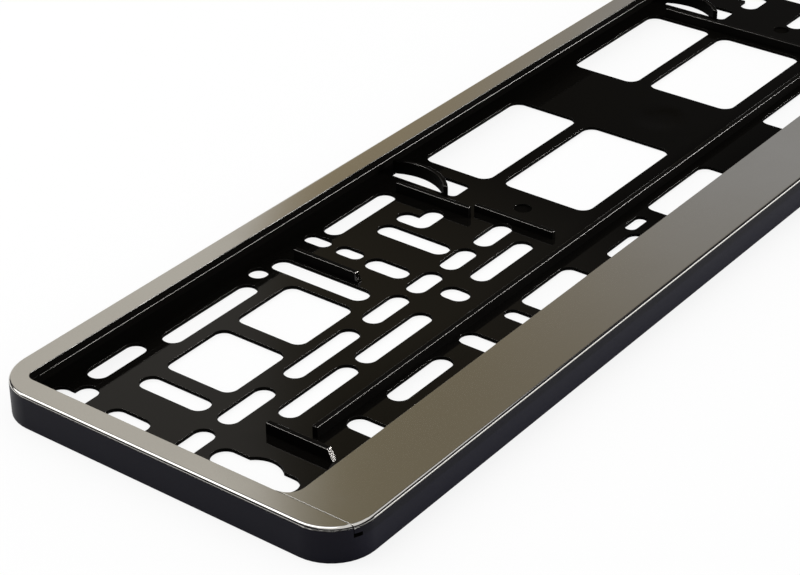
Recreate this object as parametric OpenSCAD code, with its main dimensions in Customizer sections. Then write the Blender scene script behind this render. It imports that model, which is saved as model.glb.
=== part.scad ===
// Number plate frame: a slotted tray with a bright rim on three sides and a clip-on strip on the fourth.
// It lies on its back. X runs along the plate, Y up the plate, Z out of it.
// The origin is the middle of the back face.

/* [Frame] */
// Length of the frame along X
frame_l = 532; // [531:1:560]
// Width of the frame along Y
frame_w = 125; // [121:1:140]
// Height of the frame, back face to bright face
frame_h = 11; // [10:0.5:14]
// Radius of the outer corners
corner_r = 14; // [10:1:18]
// Thickness of the side walls
wall_t = 2; // [1.2:0.1:2.4]
// Thickness of the slotted floor
floor_t = 1.2; // [1:0.1:2]

/* [Rim] */
// Width of the rim on the short sides and the top
rim_w = 7.3; // [6:0.1:10]
// Thickness of the lip that holds the plate down
lip_t = 2.4; // [1.6:0.1:3]
// Radius of the rim's outer edge
edge_r = 1; // [0.6:0.1:1.4]
// Radius of the mouth's upper corners
mouth_r = 3; // [2:0.5:8]
// Thickness of the bright film
film_t = 0.3; // [0.2:0.1:0.5]
// Width and height of the bead along the top lip
bead = 0.5; // [0.3:0.1:0.8]
// Distance of the bead's ends from the short rims
bead_inset = 5; // [4:1:20]

/* [Strip] */
// Width of the strip's bright face
strip_w = 22; // [18:0.5:26]
// Thickness of the strip's plate
strip_t = 2; // [1.4:0.1:2.4]
// Height of the strip's edge, from its bright face down to the tray's wall
strip_drop = 3.8; // [3:0.1:5]
// Radius of the fillets where the strip meets the short rims
fillet_r = 5.5; // [3:0.5:8]
// Gap at the seams between the strip and the rim
seam = 0.15; // [0.1:0.05:0.4]
// Number of snap legs under the strip
leg_n = 8; // [4:1:12]
// Distance from the outer snap legs to the seams
leg_inset = 32; // [25:1:60]
// Width of one snap leg
leg_w = 10; // [6:1:16]
// Thickness of one snap leg
leg_t = 1.5; // [1:0.1:2]
// Distance from the tray's wall to the snap legs
leg_back = 3.2; // [2.8:0.1:4]
// How far the barb stands out of its leg
barb = 0.8; // [0.6:0.1:1.2]
// Height of the barb
barb_h = 1.6; // [1:0.1:2]
// Height of the barb above the foot of its leg
barb_up = 1.5; // [1:0.1:2]
// Running clearance between the strip and the tray
play = 0.3; // [0.2:0.05:0.5]
// Length of the notch at each end of the strip's edge
notch_l = 2.4; // [1.5:0.1:4]
// Height of the notch
notch_h = 1.2; // [0.6:0.1:2]

/* [Ribs] */
// Thickness of the ribs
rib_t = 1.8; // [1.2:0.1:2.4]
// Height of the ribs above the floor
rib_h = 3.5; // [2:0.1:4]
// Height of the low rib beside the left clamp
low_rib_h = 2.4; // [1.5:0.1:3]
// Place of the long rib's lower face, from the middle of the frame
long_rib_y = -20.2; // [-20.4:0.1:-18]
// Distance of the long rib's ends from the frame's ends
long_rib_inset = 43; // [41:1:60]

/* [Slots] */
// Width of the slots that run along X
slot_w = 7; // [5:0.1:7.6]
// Width of the upright slots
upright_w = 7.2; // [5:0.1:7.6]
// Width of the short narrow slots
narrow_w = 5.5; // [4:0.1:6.5]
// Diameter of the round holes
hole_d = 6.4; // [4:0.1:8]
// Corner radius of the large windows
window_r = 4; // [2:0.5:6]
// Corner radius of the square openings and the openings under the strip
hatch_r = 3.5; // [2:0.5:5]
// Diameter of the blind round recesses
dimple_d = 5.8; // [3:0.1:6]
// Diameter of the dish in the middle of the floor
dish_d = 23; // [16:1:26]
// Depth of the blind recesses and the dish
sunk = 0.6; // [0.2:0.1:0.8]

/* [Hidden] */
$fn = 64;
black = "#17181b";
bright = "#b9b4a6";
// How far a cutting shape runs past what it cuts
over = 1;

// Heights: top of the film's core, start of the rounded edge, underside of the lip, top of the low wall
core_z = frame_h - film_t;
round_z = frame_h - edge_r;
lip_z = core_z - lip_t;
seat_z = frame_h - strip_drop;
leg_z = floor_t + play;

// How far the openings that run under the strip go past its edge
tuck = 3.5;

// Places: seam and short rims, mouth's top edge, strip's inner edge, inner face of the lower wall
seam_x = frame_l / 2 - rim_w;
mouth_y = frame_w / 2 - rim_w;
strip_y = -frame_w / 2 + strip_w;
wall_y = -frame_w / 2 + wall_t;
leg_y = wall_y + leg_back;
catch_y = leg_y + leg_t + barb + play;
catch_z = leg_z + barb_up + barb_h + play;
tuck_y = strip_y - tuck;
end_x = -frame_l / 2;

// Slots along X: [distance of the middle from the frame's end, place across, length]
top_slots = [[39.4, 51, 22], [75.3, 46.5, 40], [150.4, 48.2, 33.3]];
row_y = 5.9;
row_slots = [[20, 17.5], [43.9, 21.6], [77.8, 31.7], [108.4, 19], [127.8, 14.2], [145.5, 14.8], [164.3, 16.5]];
low_row_y = -5.7;
low_row_slots = [[61.8, 32.3], [97.1, 33.1], [152.6, 29]];
rear_slot = [84, -25, 27.2];
// Upright slots: [distance from the frame's end, place of the middle, length]
upright_slots = [[18.3, 27.8, 15.2], [36.6, 26.1, 25.1], [110.1, 32.4, 36.7], [127.8, 20.1, 15.7],
    [127.9, -5.7, 9.7], [147.1, 24.4, 27]];
narrow_slots = [[128.5, 48, 9.9], [128.5, 35.3, 9.9]];
round_hole = [101.9, 50.2];
// Corner slots of two lobes: [distance of the corner from the frame's end, corner, length up, length across]
corner_slots = [[13.8, 43, 12.7, 11.8], [153.7, 25.2, 12.7, 13.3]];
// Square openings: [distance from the frame's end, middle, length, width]
hatches = [[58.1, 25.8, 26.2, 25.3], [89.7, 25.7, 26.4, 25.3]];
// Keyhole beside the short rim: [distance, middle, length, width], then [distance, middle, radius] of its bulge
keyhole = [21.2, -16, 29.2, 8.2];
keyhole_bulge = [19.4, -17, 8.4];
// Openings that run under the strip: [distance from the frame's end (from the middle for the windows), upper
// end, width]
tucked_slots = [[55.7, -21.4, upright_w], [109.9, -20.7, upright_w], [128.5, -23.7, narrow_w]];
tucked_hatch = [149, -23.1, 27];
tucked_windows = [[-39.5, -23, 37], [38, -22.6, 40]];
// Openings beside the strip's middle latch: [distance from the middle, upper end, length, width]
latch_hole = [82.3, -28.5, 18];
latch_slot = [68.3, -26.4, 10, 4.3];
// Large windows, from the middle of the frame: [x, y, length, width]
windows = [[45.7, 41.2, 55.4, 26.3], [45.5, 6.7, 53.2, 33.3]];

// Plate clamps: each has an opening, a curved tongue across it and a rib beside it
clamp_xs = [-88.8, 84.5];
clamp_size = [9.5, 26.4];
clamp_y = 30.2;
clamp_r = 2;
tongue_r = 18.2;
tongue_centre = [-12.5, 17.8];
tongue_t = 1.5;
// Ribs across the frame: [left face, lower end, upper end]; the outer ones stand at both ends of the frame
outer_ribs = [[36.5, -28.8, -7.2], [114.9, 22.6, 46.8]];
clamp_ribs = [[-97.4, 18.6, 47.6], [74, -12, 49]];
low_rib = [-92.9, -10.8, 19.5];
dimples = [[-81.7, 8], [89.6, 8]];
dish_y = 6;
dish_r = (dish_d * dish_d / 4 + sunk * sunk) / (2 * sunk);

module rounded_rect(l, w, r) {
    square([l - 2 * r, w], center = true);
    square([l, w - 2 * r], center = true);
    for (x = [-1, 1], y = [-1, 1])
        translate([x * (l / 2 - r), y * (w / 2 - r)]) circle(r);
}

// Outline of the frame, moved in by d
module outline(d = 0) {
    rounded_rect(frame_l - 2 * d, frame_w - 2 * d, corner_r - d);
}

// Slot along X of overall length l
module slot(l, w) {
    square([l - w, w], center = true);
    for (x = [-1, 1]) translate([x * (l - w) / 2, 0]) circle(d = w);
}

module upright(l, w) {
    rotate(90) slot(l, w);
}

// Two slots that share a round corner, one up and one across
module corner_slot(up, across) {
    translate([slot_w / 2, up / 2]) upright(up, slot_w);
    translate([across / 2, slot_w / 2]) slot(across, slot_w);
}

// Opening that ends under the strip
module tucked(top, w) {
    translate([0, (top + tuck_y) / 2]) rounded_rect(w, top - tuck_y, hatch_r);
}

module at_both_ends() {
    for (side = [0, 1]) mirror([side, 0]) translate([end_x, 0]) children();
}

module end_openings() {
    for (s = top_slots) translate([s[0], s[1]]) slot(s[2], slot_w);
    for (s = row_slots) translate([s[0], row_y]) slot(s[1], slot_w);
    for (s = low_row_slots) translate([s[0], low_row_y]) slot(s[1], slot_w);
    translate([rear_slot[0], rear_slot[1]]) slot(rear_slot[2], slot_w);
    for (s = upright_slots) translate([s[0], s[1]]) upright(s[2], upright_w);
    for (s = narrow_slots) translate([s[0], s[1]]) upright(s[2], narrow_w);
    translate(round_hole) circle(d = hole_d);
    for (s = corner_slots) translate([s[0], s[1]]) corner_slot(s[2], s[3]);
    for (s = hatches) translate([s[0], s[1]]) rounded_rect(s[2], s[3], hatch_r);
    translate([keyhole[0], keyhole[1]]) upright(keyhole[2], keyhole[3]);
    translate([keyhole_bulge[0], keyhole_bulge[1]]) circle(keyhole_bulge[2]);
    for (s = tucked_slots) translate([s[0], (s[1] + tuck_y) / 2]) upright(s[1] - tuck_y, s[2]);
    translate([tucked_hatch[0], 0]) tucked(tucked_hatch[1], tucked_hatch[2]);
}

module middle_openings() {
    for (side = [0, 1]) mirror([side, 0]) {
        for (s = windows) translate([s[0], s[1]]) rounded_rect(s[2], s[3], window_r);
        translate([latch_hole[0], 0]) tucked(latch_hole[1], latch_hole[2]);
        translate([latch_slot[0], latch_slot[1]]) slot(latch_slot[2], latch_slot[3]);
    }
    for (s = tucked_windows) translate([s[0], 0]) tucked(s[1], s[2]);
}

module clamp_opening() {
    translate(clamp_size / 2) rounded_rect(clamp_size[0], clamp_size[1], clamp_r);
}

module tongue() {
    intersection() {
        translate(tongue_centre) difference() {
            circle(tongue_r + tongue_t);
            circle(tongue_r);
        }
        translate([-clamp_r / 2, -clamp_r / 2]) square(clamp_size + [clamp_r, clamp_r]);
    }
}

// The four sides of the rounded edge: a quarter ring between two radii, swept along the outline
module edge_section(outer, inner) {
    intersection() {
        difference() {
            translate([edge_r, 0]) circle(outer);
            if (inner > 0) translate([edge_r, 0]) circle(inner);
        }
        square(edge_r);
    }
}

module edge_run(l, outer, inner) {
    rotate([90, 0, 90]) translate([0, 0, -l / 2]) linear_extrude(l) edge_section(outer, inner);
}

module edge_sweep(outer, inner) {
    translate([0, 0, round_z]) {
        for (side = [0, 1]) {
            rotate(180 * side) translate([0, -frame_w / 2, 0])
                edge_run(frame_l - 2 * corner_r, outer, inner);
            rotate(180 * side + 90) translate([0, -frame_l / 2, 0])
                edge_run(frame_w - 2 * corner_r, outer, inner);
        }
        for (x = [0, 1], y = [0, 1])
            mirror([x, 0, 0]) mirror([0, y, 0])
                translate([frame_l / 2 - corner_r, frame_w / 2 - corner_r, 0])
                    rotate_extrude(angle = 90) translate([corner_r, 0]) mirror([1, 0])
                        edge_section(outer, inner);
    }
}

// The mouth between the short rims, open at the bottom where the strip goes
module mouth() {
    w = mouth_y + frame_w / 2 + over;
    translate([0, mouth_y - w / 2]) square([2 * (seam_x - mouth_r), w], center = true);
    translate([0, mouth_y - mouth_r - w / 2]) square([2 * seam_x, w], center = true);
    for (x = [-1, 1]) translate([x * (seam_x - mouth_r), mouth_y - mouth_r]) circle(mouth_r);
}

// Everything that the strip covers, with a fillet at each end
module strip_plan() {
    half = seam_x - seam;
    intersection() {
        outline();
        union() {
            translate([-half, -frame_w / 2]) square([2 * half, strip_w]);
            for (side = [0, 1]) mirror([side, 0])
                translate([-half, strip_y]) difference() {
                    square(fillet_r);
                    translate([fillet_r, fillet_r]) circle(fillet_r);
                }
        }
    }
}

module slab(low, high) {
    translate([0, 0, low]) linear_extrude(high - low) children();
}

module leg_places() {
    reach = seam_x - leg_inset;
    for (i = [0 : leg_n - 1]) translate([-reach + i * 2 * reach / (leg_n - 1), 0, 0]) children();
}

module floor_plate() {
    difference() {
        slab(0, floor_t) difference() {
            outline();
            at_both_ends() end_openings();
            middle_openings();
            for (x = clamp_xs) translate([x, clamp_y]) clamp_opening();
        }
        translate([0, 0, floor_t - sunk]) {
            for (p = dimples) translate(p) cylinder(d = dimple_d, h = sunk + over);
            translate([0, dish_y, dish_r]) sphere(dish_r);
        }
    }
}

module walls() {
    slab(0, seat_z) difference() {
        outline();
        outline(wall_t);
    }
    slab(0, lip_z) difference() {
        outline();
        outline(wall_t);
        translate([-seam_x, -frame_w / 2 - over]) square([2 * seam_x, frame_w / 2]);
    }
}

module rib(r, h) {
    translate([r[0], r[1], 0]) cube([rib_t, r[2] - r[1], floor_t + h]);
}

module ribs() {
    at_both_ends() for (r = outer_ribs) rib(r, rib_h);
    for (r = clamp_ribs) rib(r, rib_h);
    rib(low_rib, low_rib_h);
    half = frame_l / 2 - long_rib_inset;
    translate([-half, long_rib_y, 0]) cube([2 * half, rib_t, floor_t + rib_h]);
    for (x = clamp_xs) translate([x, clamp_y]) slab(0, floor_t + rib_h) tongue();
}

// Posts in the tray that the strip's barbs snap behind
module catches() {
    leg_places() translate([-leg_w / 2, catch_y, 0]) {
        cube([leg_w, rib_t, catch_z + barb_h]);
        translate([0, -barb, catch_z]) cube([leg_w, barb + rib_t, barb_h]);
    }
}

// The tray up to the underside of its lip
module holder() {
    color(black) {
        floor_plate();
        walls();
        ribs();
        catches();
    }
}

// The tray's lip, moulded in one with it; a node of its own, so that the space for the plate stays open
module lip() {
    color(black) {
        slab(lip_z, round_z) difference() {
            outline();
            mouth();
        }
        slab(round_z, core_z) difference() {
            outline(edge_r);
            mouth();
        }
        slab(lip_z, lip_z + bead)
            translate([-seam_x + bead_inset, mouth_y - bead]) square([2 * (seam_x - bead_inset), bead]);
        difference() {
            edge_sweep(edge_r - film_t, 0);
            translate([0, 0, round_z - over]) linear_extrude(edge_r + 2 * over) mouth();
        }
    }
}

module strip() {
    color(black) {
        slab(core_z - strip_t, round_z) strip_plan();
        slab(round_z, core_z) intersection() {
            strip_plan();
            outline(edge_r);
        }
        intersection() {
            edge_sweep(edge_r - film_t, 0);
            slab(round_z, frame_h) strip_plan();
        }
        difference() {
            slab(seat_z, round_z) intersection() {
                strip_plan();
                difference() {
                    outline();
                    outline(wall_t);
                }
                translate([-seam_x, -frame_w / 2]) square([2 * seam_x, corner_r]);
            }
            for (x = [-1, 1]) translate([x * seam_x - notch_l, -frame_w / 2 - over, seat_z - over])
                cube([2 * notch_l, corner_r, over + notch_h]);
        }
        leg_places() translate([-leg_w / 2, leg_y, leg_z]) {
            cube([leg_w, leg_t, core_z - strip_t - leg_z]);
            translate([0, 0, barb_up]) cube([leg_w, leg_t + barb, barb_h]);
        }
    }
}

module rim_film() {
    color(bright) {
        slab(core_z, frame_h) difference() {
            outline(edge_r);
            mouth();
        }
        difference() {
            edge_sweep(edge_r, edge_r - film_t);
            translate([0, 0, round_z - over]) linear_extrude(edge_r + 2 * over) mouth();
        }
    }
}

module strip_film() {
    color(bright) {
        slab(core_z, frame_h) intersection() {
            strip_plan();
            outline(edge_r);
        }
        intersection() {
            edge_sweep(edge_r, edge_r - film_t);
            slab(round_z, frame_h) strip_plan();
        }
    }
}

holder();
lip();
strip();
rim_film();
strip_film();
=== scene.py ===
# Number plate frame: rounded mouldings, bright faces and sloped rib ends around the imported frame, lying on a
# pale studio floor. Lengths are in metres.
import math

import bmesh
import bpy
from mathutils import Matrix, Vector


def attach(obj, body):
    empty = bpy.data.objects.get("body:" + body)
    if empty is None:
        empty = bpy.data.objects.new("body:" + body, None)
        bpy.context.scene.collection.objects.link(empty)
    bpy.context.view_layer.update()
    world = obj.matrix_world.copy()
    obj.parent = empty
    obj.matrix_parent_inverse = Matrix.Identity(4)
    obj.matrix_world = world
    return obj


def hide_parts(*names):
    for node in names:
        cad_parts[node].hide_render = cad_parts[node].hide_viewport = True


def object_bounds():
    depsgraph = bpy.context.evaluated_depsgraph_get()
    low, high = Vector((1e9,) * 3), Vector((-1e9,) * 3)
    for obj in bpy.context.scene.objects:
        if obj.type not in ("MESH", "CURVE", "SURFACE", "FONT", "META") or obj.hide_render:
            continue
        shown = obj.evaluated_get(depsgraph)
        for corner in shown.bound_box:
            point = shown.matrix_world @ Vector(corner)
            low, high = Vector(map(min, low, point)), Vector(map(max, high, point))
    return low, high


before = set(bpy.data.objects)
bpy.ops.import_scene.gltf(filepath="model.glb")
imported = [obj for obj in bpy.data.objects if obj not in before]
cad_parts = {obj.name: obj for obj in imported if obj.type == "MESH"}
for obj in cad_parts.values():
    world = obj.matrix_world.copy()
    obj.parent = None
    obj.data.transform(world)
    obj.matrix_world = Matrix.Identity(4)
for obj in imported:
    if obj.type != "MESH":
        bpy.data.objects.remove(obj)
cad_box = [list(corner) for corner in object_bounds()]
HALF_L, HALF_W = cad_box[1][:2]
MM = 0.001

# Heights and outline of the mouldings
FLOOR_TOP = 1.2 * MM
UNDER_FILM = 10.7 * MM
CORNER_R = 14 * MM
WELD = 0.002 * MM

# Rounding on the mouldings, round the openings in the floor and on the bright faces
MOULDED_EDGE = 0.2 * MM
FLOOR_EDGE = 0.06 * MM
FACE_EDGE = 0.1 * MM

# An edge flatter than the first angle goes, one sharper than the second is rounded, and one that is still
# sharper than the third is a crease
FLAT_ANGLE = math.radians(0.4)
SHARP_ANGLE = math.radians(35)
CREASE_ANGLE = math.radians(60)

# Upward part of the normal of a face: below the first it is upright, above the others it is level
UPRIGHT = 0.1
NEARLY_LEVEL = 0.9
LEVEL = 0.99

# Depth of the outer wall's faces, and the heights that the floors of blind recesses and inner tops stay under
OUTER_WALL = 0.3 * MM
RECESS_TOP = FLOOR_TOP - 0.5 * MM
INNER_TOP = UNDER_FILM - MM

# The bright film ends on its rounded outer edge: in this band along the outline, where the upward part of a
# face's normal is less than this
FILM_BAND = 0.4 * MM
FILM_END = 0.33

# Ribs with a sloped near end, the outer rib first: how far its outer face is from the frame's end, where the
# rib ends, and the length of the slope. Each slope reaches into its rib and starts just below the rib's top.
RIB_ENDS = [(36.5 * MM, -28.8 * MM, 1.9 * MM), (114.9 * MM, 22.6 * MM, 1.2 * MM)]
RIB_T = 1.8 * MM
RIB_TOP = 4.7 * MM
TOE_OVERLAP = 0.2 * MM
TOE_DROP = 0.1 * MM
TOE_EDGE = 0.12 * MM

# A slope's faces that look this far towards the near side mirror more
FACING_NEAR = -0.5

# Finishes of the black plastic, with two painted tints: the outer wall's lighter, bluer black is painted
# sheen, and the warm tint of its gloss is painted reflection. Two roughnesses are for the least and the most
# smeared places.
# The floor's two IORs are for the ends of the stretch of X over which its gloss falls off.
GLOSS_ROUGHNESS = (0.03, 0.06)
DULL_ROUGHNESS = 0.6
SATIN_ROUGHNESS = 0.38
GLOSS_LEVEL = 0.5
DULL_LEVEL = 0.02
SATIN_LEVEL = 0.1
PLASTIC_IOR = 1.45
EDGE_IOR = 3.0
FLOOR_IOR = (1.3, 1.05)
FLOOR_FADE = (-0.16, -0.06)
BLACK = (0.002, 0.0018, 0.0015, 1.0)
# The outer wall's black, lighter and bluer than the rest of the moulding, is painted sheen
SATIN_BLACK_PAINTED_SHEEN = (0.005, 0.005, 0.010, 1.0)
# A warm tint on the plastic's gloss is painted reflection of warm surroundings
PAINTED_WARM_REFLECTION = (1.0, 0.95, 0.9, 1.0)
PLASTIC_GRAIN = 0.06

# Finish of the bright film
FILM_CLEAN = (0.74, 0.72, 0.68, 1.0)
FILM_SMEARED = (0.69, 0.67, 0.63, 1.0)
FILM_ROUGHNESS = (0.06, 0.12)
FILM_PEEL = 0.12

# Values of the smear pattern between which it counts
SMEARS = (0.3, 0.7)

# Light of the surroundings, and the floor: its white, its glow, how much of the glow the camera sees, half
# its side, and the gap under the frame
SKY_LIGHT = 0.65
FLOOR_WHITE = (0.95, 0.95, 0.95, 1.0)
FLOOR_GLOW = 1.03
FLOOR_GLOW_SHARE = 0.8
FLOOR_HALF = 4.0
FLOOR_GAP = 0.2 * MM

# The ring of cards that the bright faces mirror: its size, and the heights over which it turns from the low
# cards to the high ones and from those to dark
RING_RADIUS = 4.0
RING_H = 4.3
RING_SEGMENTS = 96
HIGH_CARDS = (2.1, 2.7)
DARK_TOP = (3.35, 3.5)

# The camera stands near the lower left corner of the frame and looks along it
CAMERA_PLACE = Vector((-0.6218, -0.3499, 0.3585))
CAMERA_HEADING = math.radians(37.052)
CAMERA_DIP = math.radians(30.89)
CAMERA_ROLL = math.radians(-0.274)
CAMERA_LENS = 102.98
CAMERA_SENSOR = 36.0
CAMERA_NEAR = 0.01


def as_object(bm, name):
    """An object in the scene with this mesh."""
    mesh = bpy.data.meshes.new(name)
    bm.to_mesh(mesh)
    bm.free()
    piece = bpy.data.objects.new(name, mesh)
    bpy.context.scene.collection.objects.link(piece)
    return piece


def clean_mesh(mesh):
    """A bmesh of this mesh without double vertices and without edges across flat faces."""
    bm = bmesh.new()
    bm.from_mesh(mesh)
    bmesh.ops.remove_doubles(bm, verts=bm.verts, dist=WELD)
    bmesh.ops.dissolve_limit(bm, angle_limit=FLAT_ANGLE, verts=bm.verts, edges=bm.edges)
    return bm


def joined(nodes):
    """One closed mesh of several CAD nodes that meet face to face."""
    stands = [as_object(clean_mesh(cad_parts[node].data), "loose " + node) for node in nodes]
    for other in stands[1:]:
        union = stands[0].modifiers.new("join", "BOOLEAN")
        union.operation = "UNION"
        union.solver = "EXACT"
        union.object = other
    depsgraph = bpy.context.evaluated_depsgraph_get()
    mesh = bpy.data.meshes.new_from_object(stands[0].evaluated_get(depsgraph))
    for stand in stands:
        bpy.data.meshes.remove(stand.data)
    return mesh


def off_outline(place):
    """Distance of a place inside the frame from the frame's rounded outline."""
    out_x = max(abs(place.x) - HALF_L + CORNER_R, 0.0)
    out_y = max(abs(place.y) - HALF_W + CORNER_R, 0.0)
    return CORNER_R - math.hypot(out_x, out_y)


def lowest(edge):
    return min(end.co.z for end in edge.verts)


def highest(edge):
    return max(end.co.z for end in edge.verts)


def sharp_edges(bm):
    """The outward edges that are sharp enough to round."""
    return [e for e in bm.edges if e.is_manifold and e.is_convex and e.calc_face_angle() > SHARP_ANGLE]


def bare_edges(edges):
    """These edges without those under the film and along the outline above the foot, which stay sharp."""
    uncovered = [e for e in edges if lowest(e) < UNDER_FILM - WELD]
    return [e for e in uncovered if lowest(e) < WELD or max(off_outline(end.co) for end in e.verts) > WELD]


def round_edges(bm, edges, width, clamp=False):
    """Rounds these edges and gives the new faces."""
    made = bmesh.ops.bevel(bm, geom=edges, offset=width, offset_type="OFFSET", segments=2, profile=0.5,
                           affect="EDGES", loop_slide=True, clamp_overlap=clamp, material=-1)
    return set(made["faces"])


def mark_faces(bm, rims, corners):
    """Marks for the plastic. Skirt is the outer wall. Dull is for inner walls, blind recesses, inner tops and
    the rounded edges of the floor. Corner is for the rounded edges above it, and ground is the floor."""
    skirt = bm.faces.layers.float.new("skirt")
    dull = bm.faces.layers.float.new("dull")
    ground = bm.faces.layers.float.new("ground")
    corner = bm.faces.layers.float.new("corner")
    for face in bm.faces:
        up = face.normal.z
        middle = face.calc_center_median()
        upright = abs(up) < UPRIGHT and face not in corners
        outside = off_outline(middle) < OUTER_WALL
        face[skirt] = float(outside and (upright or face in corners))
        sunk = up > LEVEL and middle.z < RECESS_TOP
        low_top = up > LEVEL and FLOOR_TOP + WELD < middle.z < INNER_TOP
        face[dull] = float(sunk or low_top or face in rims or (upright and not face[skirt]))
        face[corner] = float(face in corners and not face[skirt])
        face[ground] = float(up > NEARLY_LEVEL and middle.z < FLOOR_TOP + WELD)


def smooth_faces(bm):
    for face in bm.faces:
        face.smooth = True


def rounded_copy(nodes, name, width):
    """One piece in place of these CAD nodes, with its sharp edges rounded."""
    bm = clean_mesh(joined(nodes))
    sharp = sharp_edges(bm)
    if width == MOULDED_EDGE:
        sharp = bare_edges(sharp)
    raised = [e for e in sharp if highest(e) > FLOOR_TOP + WELD]
    in_floor = [e for e in sharp if highest(e) <= FLOOR_TOP + WELD]
    rims = round_edges(bm, in_floor, FLOOR_EDGE)
    raised = [e for e in raised if e.is_valid]
    corners = round_edges(bm, raised, width)
    for e in bm.edges:
        e.smooth = not (e.is_manifold and e.calc_face_angle() > CREASE_ANGLE)
    smooth_faces(bm)
    mark_faces(bm, rims, corners)
    piece = as_object(bm, name)
    normals = piece.modifiers.new("flat faces", "WEIGHTED_NORMAL")
    normals.keep_sharp = True
    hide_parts(*nodes)
    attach(piece, "root")
    return piece


def rib_toe(inset, end, run, side, name):
    """The slope from the top of a rib's near end down to the floor."""
    outer_x = (HALF_L - inset) * side
    rear = end + TOE_OVERLAP
    top = RIB_TOP - TOE_DROP
    bm = bmesh.new()
    outline = [(rear, FLOOR_TOP), (rear, top), (end, top), (end - run, FLOOR_TOP)]
    outer_face = bm.faces.new([bm.verts.new((outer_x, y, z)) for y, z in outline])
    drawn = bmesh.ops.extrude_face_region(bm, geom=[outer_face])["geom"]
    inner_verts = [part for part in drawn if isinstance(part, bmesh.types.BMVert)]
    bmesh.ops.translate(bm, vec=(-RIB_T * side, 0.0, 0.0), verts=inner_verts)
    bmesh.ops.recalc_face_normals(bm, faces=bm.faces)
    round_edges(bm, bm.edges[:], TOE_EDGE, clamp=True)
    smooth_faces(bm)
    corner = bm.faces.layers.float.new("corner")
    for face in bm.faces:
        face[corner] = float(face.normal.y < FACING_NEAR)
    toe = as_object(bm, name)
    toe.modifiers.new("flat faces", "WEIGHTED_NORMAL")
    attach(toe, "root")
    return toe


def feed(tree, socket, value):
    """Gives a socket a constant, or links it to another socket."""
    if isinstance(value, bpy.types.NodeSocket):
        tree.links.new(value, socket)
    else:
        socket.default_value = value


def mix(tree, kind, share, first, second):
    """From first to second by share, each a constant or a socket, as FLOAT values or RGBA colours."""
    node = tree.nodes.new("ShaderNodeMix")
    node.data_type = kind
    feed(tree, node.inputs["Factor"], share)
    feed(tree, node.inputs["A"], first)
    feed(tree, node.inputs["B"], second)
    return node.outputs["Result"]


def mix_shaders(tree, share, first, second):
    node = tree.nodes.new("ShaderNodeMixShader")
    tree.links.new(share, node.inputs["Fac"])
    tree.links.new(first, node.inputs[1])
    tree.links.new(second, node.inputs[2])
    return node.outputs["Shader"]


def calculate(tree, operation, first, second):
    node = tree.nodes.new("ShaderNodeMath")
    node.operation = operation
    feed(tree, node.inputs[0], first)
    feed(tree, node.inputs[1], second)
    return node.outputs["Value"]


def map_range(tree, source, old, new):
    """The source's range old, turned into the range new and held at its ends."""
    node = tree.nodes.new("ShaderNodeMapRange")
    tree.links.new(source, node.inputs["Value"])
    for label, value in zip(("From Min", "From Max", "To Min", "To Max"), (*old, *new)):
        node.inputs[label].default_value = value
    return node.outputs["Result"]


def place_on_piece(tree):
    """Outputs X, Y and Z of the place on a piece."""
    texture = tree.nodes.new("ShaderNodeTexCoord")
    split = tree.nodes.new("ShaderNodeSeparateXYZ")
    tree.links.new(texture.outputs["Object"], split.inputs["Vector"])
    return split.outputs


def face_mask(tree, name):
    """1 on the faces with this mark, 0 elsewhere."""
    node = tree.nodes.new("ShaderNodeAttribute")
    node.attribute_name = name
    return node.outputs["Fac"]


def add_bump(tree, shader, height, strength, distance):
    bump = tree.nodes.new("ShaderNodeBump")
    bump.inputs["Distance"].default_value = distance
    feed(tree, bump.inputs["Strength"], strength)
    feed(tree, bump.inputs["Height"], height)
    feed(tree, shader.inputs["Normal"], bump.outputs["Normal"])


def start_material(name):
    """A new material, with its node tree and its shader."""
    material = bpy.data.materials.new(name)
    material.use_nodes = True
    tree = material.node_tree
    return material, tree, tree.nodes["Principled BSDF"]


def make_handling_group():
    """Fine grain and the soft smears that hands leave: a mask for roughness and a height for bump."""
    group = bpy.data.node_groups.new("handling", "ShaderNodeTree")
    for label in ("Grain Scale", "Smear Scale"):
        group.interface.new_socket(label, in_out="INPUT", socket_type="NodeSocketFloat")
    for label in ("Smear", "Height"):
        group.interface.new_socket(label, in_out="OUTPUT", socket_type="NodeSocketFloat")
    scales = group.nodes.new("NodeGroupInput")
    results = group.nodes.new("NodeGroupOutput")
    place = group.nodes.new("ShaderNodeTexCoord")
    grain = group.nodes.new("ShaderNodeTexNoise")
    grain.inputs["Detail"].default_value = 2.0
    smear = group.nodes.new("ShaderNodeTexNoise")
    smear.inputs["Detail"].default_value = 4.0
    smear.inputs["Roughness"].default_value = 0.55
    smear.inputs["Distortion"].default_value = 0.6
    for noise, scale, result in ((grain, "Grain Scale", "Height"), (smear, "Smear Scale", "Smear")):
        group.links.new(place.outputs["Object"], noise.inputs["Vector"])
        group.links.new(scales.outputs[scale], noise.inputs["Scale"])
        group.links.new(noise.outputs["Fac"], results.inputs[result])
    return group


def add_handling(tree, group, grain_scale, smear_scale):
    """The smears' mask and the grain's height, at these scales."""
    node = tree.nodes.new("ShaderNodeGroup")
    node.node_tree = group
    node.inputs["Grain Scale"].default_value = grain_scale
    node.inputs["Smear Scale"].default_value = smear_scale
    return node.outputs["Smear"], node.outputs["Height"]


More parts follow.
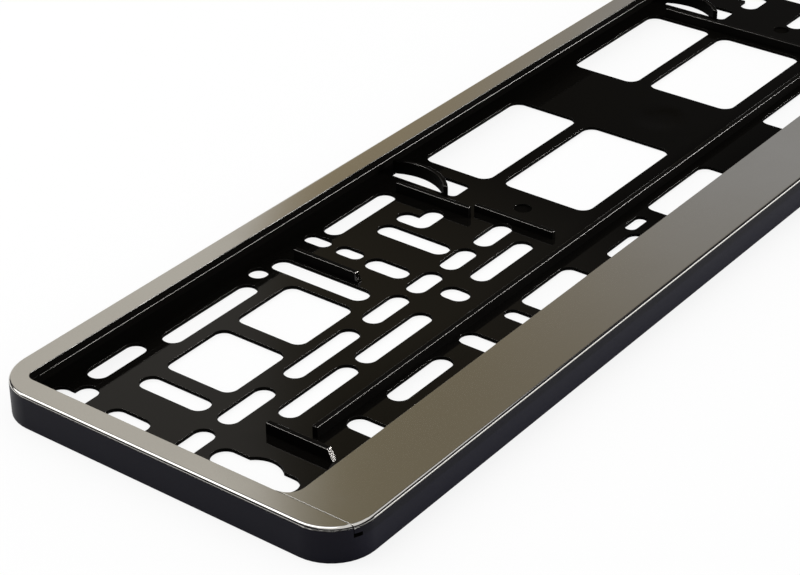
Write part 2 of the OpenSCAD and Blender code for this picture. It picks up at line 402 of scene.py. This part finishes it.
def black_plastic(handling):
    """Gloss black. The outer wall is satin, with a lighter, bluer black that is painted sheen, and inner
    walls, recesses and inner tops are dull. Rounded edges above the floor and the ribs' slopes mirror more,
    the floor's gloss falls off from left to middle, and a warm tint on all gloss is painted reflection."""
    material, tree, shader = start_material("black plastic")
    smear, grain = add_handling(tree, handling, grain_scale=3500.0, smear_scale=35.0)
    skirt = face_mask(tree, "skirt")
    dull = face_mask(tree, "dull")
    ground = face_mask(tree, "ground")
    corner = face_mask(tree, "corner")
    polish = map_range(tree, smear, SMEARS, GLOSS_ROUGHNESS)
    roughness = mix(tree, "FLOAT", skirt, mix(tree, "FLOAT", dull, polish, DULL_ROUGHNESS), SATIN_ROUGHNESS)
    level = mix(tree, "FLOAT", skirt, mix(tree, "FLOAT", dull, GLOSS_LEVEL, DULL_LEVEL), SATIN_LEVEL)
    floor_ior = map_range(tree, place_on_piece(tree)["X"], FLOOR_FADE, FLOOR_IOR)
    ior = mix(tree, "FLOAT", corner, mix(tree, "FLOAT", ground, PLASTIC_IOR, floor_ior), EDGE_IOR)
    # The outer wall's lighter, bluer black is painted sheen
    feed(tree, shader.inputs["Base Color"], mix(tree, "RGBA", skirt, BLACK, SATIN_BLACK_PAINTED_SHEEN))
    feed(tree, shader.inputs["Roughness"], roughness)
    feed(tree, shader.inputs["Specular IOR Level"], level)
    feed(tree, shader.inputs["IOR"], ior)
    # The warm tint on all gloss is painted reflection
    feed(tree, shader.inputs["Specular Tint"], PAINTED_WARM_REFLECTION)
    add_bump(tree, shader, grain, strength=mix(tree, "FLOAT", corner, PLASTIC_GRAIN, 0.0), distance=0.05 * MM)
    return material


def bright_film(handling):
    """Metallised film with a faint orange peel and soft smears."""
    material, tree, shader = start_material("bright film")
    smear, peel = add_handling(tree, handling, grain_scale=250.0, smear_scale=28.0)
    feed(tree, shader.inputs["Base Color"], mix(tree, "RGBA", smear, FILM_CLEAN, FILM_SMEARED))
    feed(tree, shader.inputs["Metallic"], 1.0)
    feed(tree, shader.inputs["Roughness"], map_range(tree, smear, SMEARS, FILM_ROUGHNESS))
    add_bump(tree, shader, peel, strength=FILM_PEEL, distance=0.01 * MM)
    return material


def dress(piece, material):
    """Gives a piece its material."""
    piece.data.materials.clear()
    piece.data.materials.append(material)


def end_film_low(piece, material):
    """The film ends low on the rounded outer edge: the faces below that are bare moulding."""
    piece.data.materials.append(material)
    for face in piece.data.polygons:
        if 0 <= face.normal.z < FILM_END and off_outline(face.center) < FILM_BAND:
            face.material_index = 1


def make_world():
    """Even light on the frame, and a pale backdrop for the camera and for what mirrors."""
    world = bpy.data.worlds.new("studio")
    world.use_nodes = True
    tree = world.node_tree
    light = tree.nodes["Background"]
    light.inputs["Color"].default_value = (1.0, 1.0, 1.0, 1.0)
    light.inputs["Strength"].default_value = SKY_LIGHT
    backdrop = tree.nodes.new("ShaderNodeBackground")
    rays = tree.nodes.new("ShaderNodeLightPath").outputs
    seen = calculate(tree, "MAXIMUM", rays["Is Camera Ray"], rays["Is Glossy Ray"])
    seen = calculate(tree, "MAXIMUM", seen, rays["Is Transmission Ray"])
    both = mix_shaders(tree, seen, light.outputs["Background"], backdrop.outputs["Background"])
    tree.links.new(both, tree.nodes["World Output"].inputs["Surface"])
    bpy.context.scene.world = world


def make_floor():
    """A white floor. The camera sees most of it as a glow, which leaves the frame's shadow on it."""
    bm = bmesh.new()
    bmesh.ops.create_grid(bm, x_segments=1, y_segments=1, size=FLOOR_HALF,
                          matrix=Matrix.Translation((0, 0, -FLOOR_GAP)))
    floor = as_object(bm, "studio_floor")
    material, tree, shader = start_material("studio floor")
    shader.inputs["Base Color"].default_value = FLOOR_WHITE
    shader.inputs["Roughness"].default_value = 0.9
    shader.inputs["Specular IOR Level"].default_value = 0.0
    glow = tree.nodes.new("ShaderNodeEmission")
    glow.inputs["Strength"].default_value = FLOOR_GLOW
    rays = tree.nodes.new("ShaderNodeLightPath").outputs
    share = calculate(tree, "MULTIPLY", rays["Is Camera Ray"], FLOOR_GLOW_SHARE)
    both = mix_shaders(tree, share, shader.outputs["BSDF"], glow.outputs["Emission"])
    tree.links.new(both, tree.nodes["Material Output"].inputs["Surface"])
    floor.data.materials.append(material)


def colour_ramp(tree, source, stops):
    """Colours by angle: each stop is an angle in degrees from +X towards +Y and a colour."""
    node = tree.nodes.new("ShaderNodeValToRGB")
    elements = node.color_ramp.elements
    while len(elements) < len(stops):
        elements.new(1.0)
    for element, (angle, colour) in zip(elements, stops):
        element.position = (angle + 180) / 360
        element.color = (*colour, 1.0)
    tree.links.new(source, node.inputs["Fac"])
    return node.outputs["Color"]


def ring_colours(tree):
    """Pale behind the frame on the left, brown on the right, and dark on top and at the sides."""
    pale = (0.556, 0.537, 0.497)
    dark = (0.03, 0.03, 0.032)
    grey = (0.31, 0.309, 0.31)
    place = place_on_piece(tree)
    angle = calculate(tree, "ARCTAN2", place["Y"], place["X"])
    around = map_range(tree, angle, (-math.pi, math.pi), (0.0, 1.0))
    low = colour_ramp(tree, around, [
        (-180, dark), (0, dark), (6, grey), (29, grey), (37, (0.28, 0.24, 0.17)), (42, (0.30, 0.25, 0.165)),
        (43.5, pale), (75, pale), (85, dark)])
    high = colour_ramp(tree, around, [
        (-180, dark), (0, dark), (6, (0.24, 0.235, 0.22)), (29, (0.20, 0.18, 0.145)),
        (37, (0.19, 0.165, 0.115)), (41.5, (0.20, 0.175, 0.12)), (44, pale), (75, pale), (85, dark)])
    cards = mix(tree, "RGBA", map_range(tree, place["Z"], HIGH_CARDS, (0.0, 1.0)), low, high)
    return mix(tree, "RGBA", map_range(tree, place["Z"], DARK_TOP, (0.0, 1.0)), cards, (*dark, 1.0))


def make_ring():
    """A ring of cards round the frame that only mirrors see."""
    bm = bmesh.new()
    bmesh.ops.create_cone(bm, cap_ends=False, segments=RING_SEGMENTS, radius1=RING_RADIUS,
                          radius2=RING_RADIUS, depth=RING_H, matrix=Matrix.Translation((0, 0, RING_H / 2)))
    ring = as_object(bm, "studio_ring")
    material, tree, shader = start_material("studio ring")
    tree.nodes.remove(shader)
    glow = tree.nodes.new("ShaderNodeEmission")
    tree.links.new(ring_colours(tree), glow.inputs["Color"])
    tree.links.new(glow.outputs["Emission"], tree.nodes["Material Output"].inputs["Surface"])
    ring.data.materials.append(material)
    ring.visible_camera = False
    ring.visible_diffuse = False
    ring.visible_shadow = False
    ring.visible_transmission = False


def area_lamp(name, side, distance, size, brightness):
    """A rectangular lamp that faces the frame's middle; its power follows from how bright it looks."""
    lamp = bpy.data.lights.new(name, "AREA")
    lamp.shape = "RECTANGLE"
    lamp.size, lamp.size_y = size
    lamp.energy = brightness * math.pi * size[0] * size[1]
    stand = bpy.data.objects.new(name, lamp)
    bpy.context.scene.collection.objects.link(stand)
    place = Vector(side).normalized() * distance
    stand.location = place
    stand.rotation_mode = "QUATERNION"
    stand.rotation_quaternion = (-place).to_track_quat("-Z", "X")
    return stand


def lit_group(name, pieces):
    """A collection of the pieces that a lamp is kept to."""
    group = bpy.data.collections.new(name)
    for piece in pieces:
        group.objects.link(piece)
    return group


def make_lamps(tray, toes):
    """Two soft boxes, two lamps for the tray and the ribs' slopes alone, and one for the outer slopes."""
    area_lamp("soft box", side=(-0.3, 0.517, 0.80), distance=1.7, size=(2.5, 0.9), brightness=1.7)
    area_lamp("side box", side=(0.685, -0.71, 0.14), distance=1.7, size=(0.3, 0.8), brightness=2.0)
    black_parts = lit_group("black parts", [tray, *toes])
    key = area_lamp("key glint", side=(-0.1, 0.52, 0.85), distance=1.6, size=(0.3, 0.4), brightness=25.0)
    key.light_linking.receiver_collection = black_parts
    edge = area_lamp("side glint", side=(0.65, -0.62, 0.40), distance=1.6, size=(0.3, 0.8), brightness=45.0)
    edge.light_linking.receiver_collection = black_parts
    outer_toes = lit_group("outer rib toes", [toe for toe in toes if toe.name.startswith("rib_toe_0")])
    slope = area_lamp("toe glint", side=(0.53, -0.84, 0.15), distance=1.5, size=(0.6, 0.9), brightness=120.0)
    slope.light_linking.receiver_collection = outer_toes
    slope.light_linking.blocker_collection = outer_toes


def make_camera():
    """A camera with the photograph's view of the frame."""
    forward = Vector((math.cos(CAMERA_DIP) * math.cos(CAMERA_HEADING),
                      math.cos(CAMERA_DIP) * math.sin(CAMERA_HEADING), -math.sin(CAMERA_DIP)))
    level = Vector((math.sin(CAMERA_HEADING), -math.cos(CAMERA_HEADING), 0.0))
    up = level.cross(forward)
    right = level * math.cos(CAMERA_ROLL) + up * math.sin(CAMERA_ROLL)
    up = right.cross(forward)
    camera = bpy.data.cameras.new("camera")
    camera.lens = CAMERA_LENS
    camera.sensor_width = CAMERA_SENSOR
    camera.clip_start = CAMERA_NEAR
    stand = bpy.data.objects.new("camera", camera)
    bpy.context.scene.collection.objects.link(stand)
    turn = Matrix((right, up, -forward)).transposed()
    stand.matrix_world = Matrix.Translation(CAMERA_PLACE) @ turn.to_4x4()
    bpy.context.scene.camera = stand


make_camera()
handling = make_handling_group()
plastic = black_plastic(handling)
film = bright_film(handling)
tray = rounded_copy(["holder", "lip"], "tray", MOULDED_EDGE)
clip_strip = rounded_copy(["strip"], "clip_strip", MOULDED_EDGE)
dress(tray, plastic)
dress(clip_strip, plastic)
for node, name in (("rim_film", "rim_face"), ("strip_film", "strip_face")):
    face_piece = rounded_copy([node], name, FACE_EDGE)
    dress(face_piece, film)
    end_film_low(face_piece, plastic)
toes = []
for side, hand in ((-1, "left"), (1, "right")):
    for rib, (inset, end, run) in enumerate(RIB_ENDS):
        toe = rib_toe(inset, end, run, side, f"rib_toe_{rib}_{hand}")
        dress(toe, plastic)
        toes.append(toe)

make_world()
make_floor()
make_ring()
make_lamps(tray, toes)
bpy.context.scene.view_settings.view_transform = "Standard"
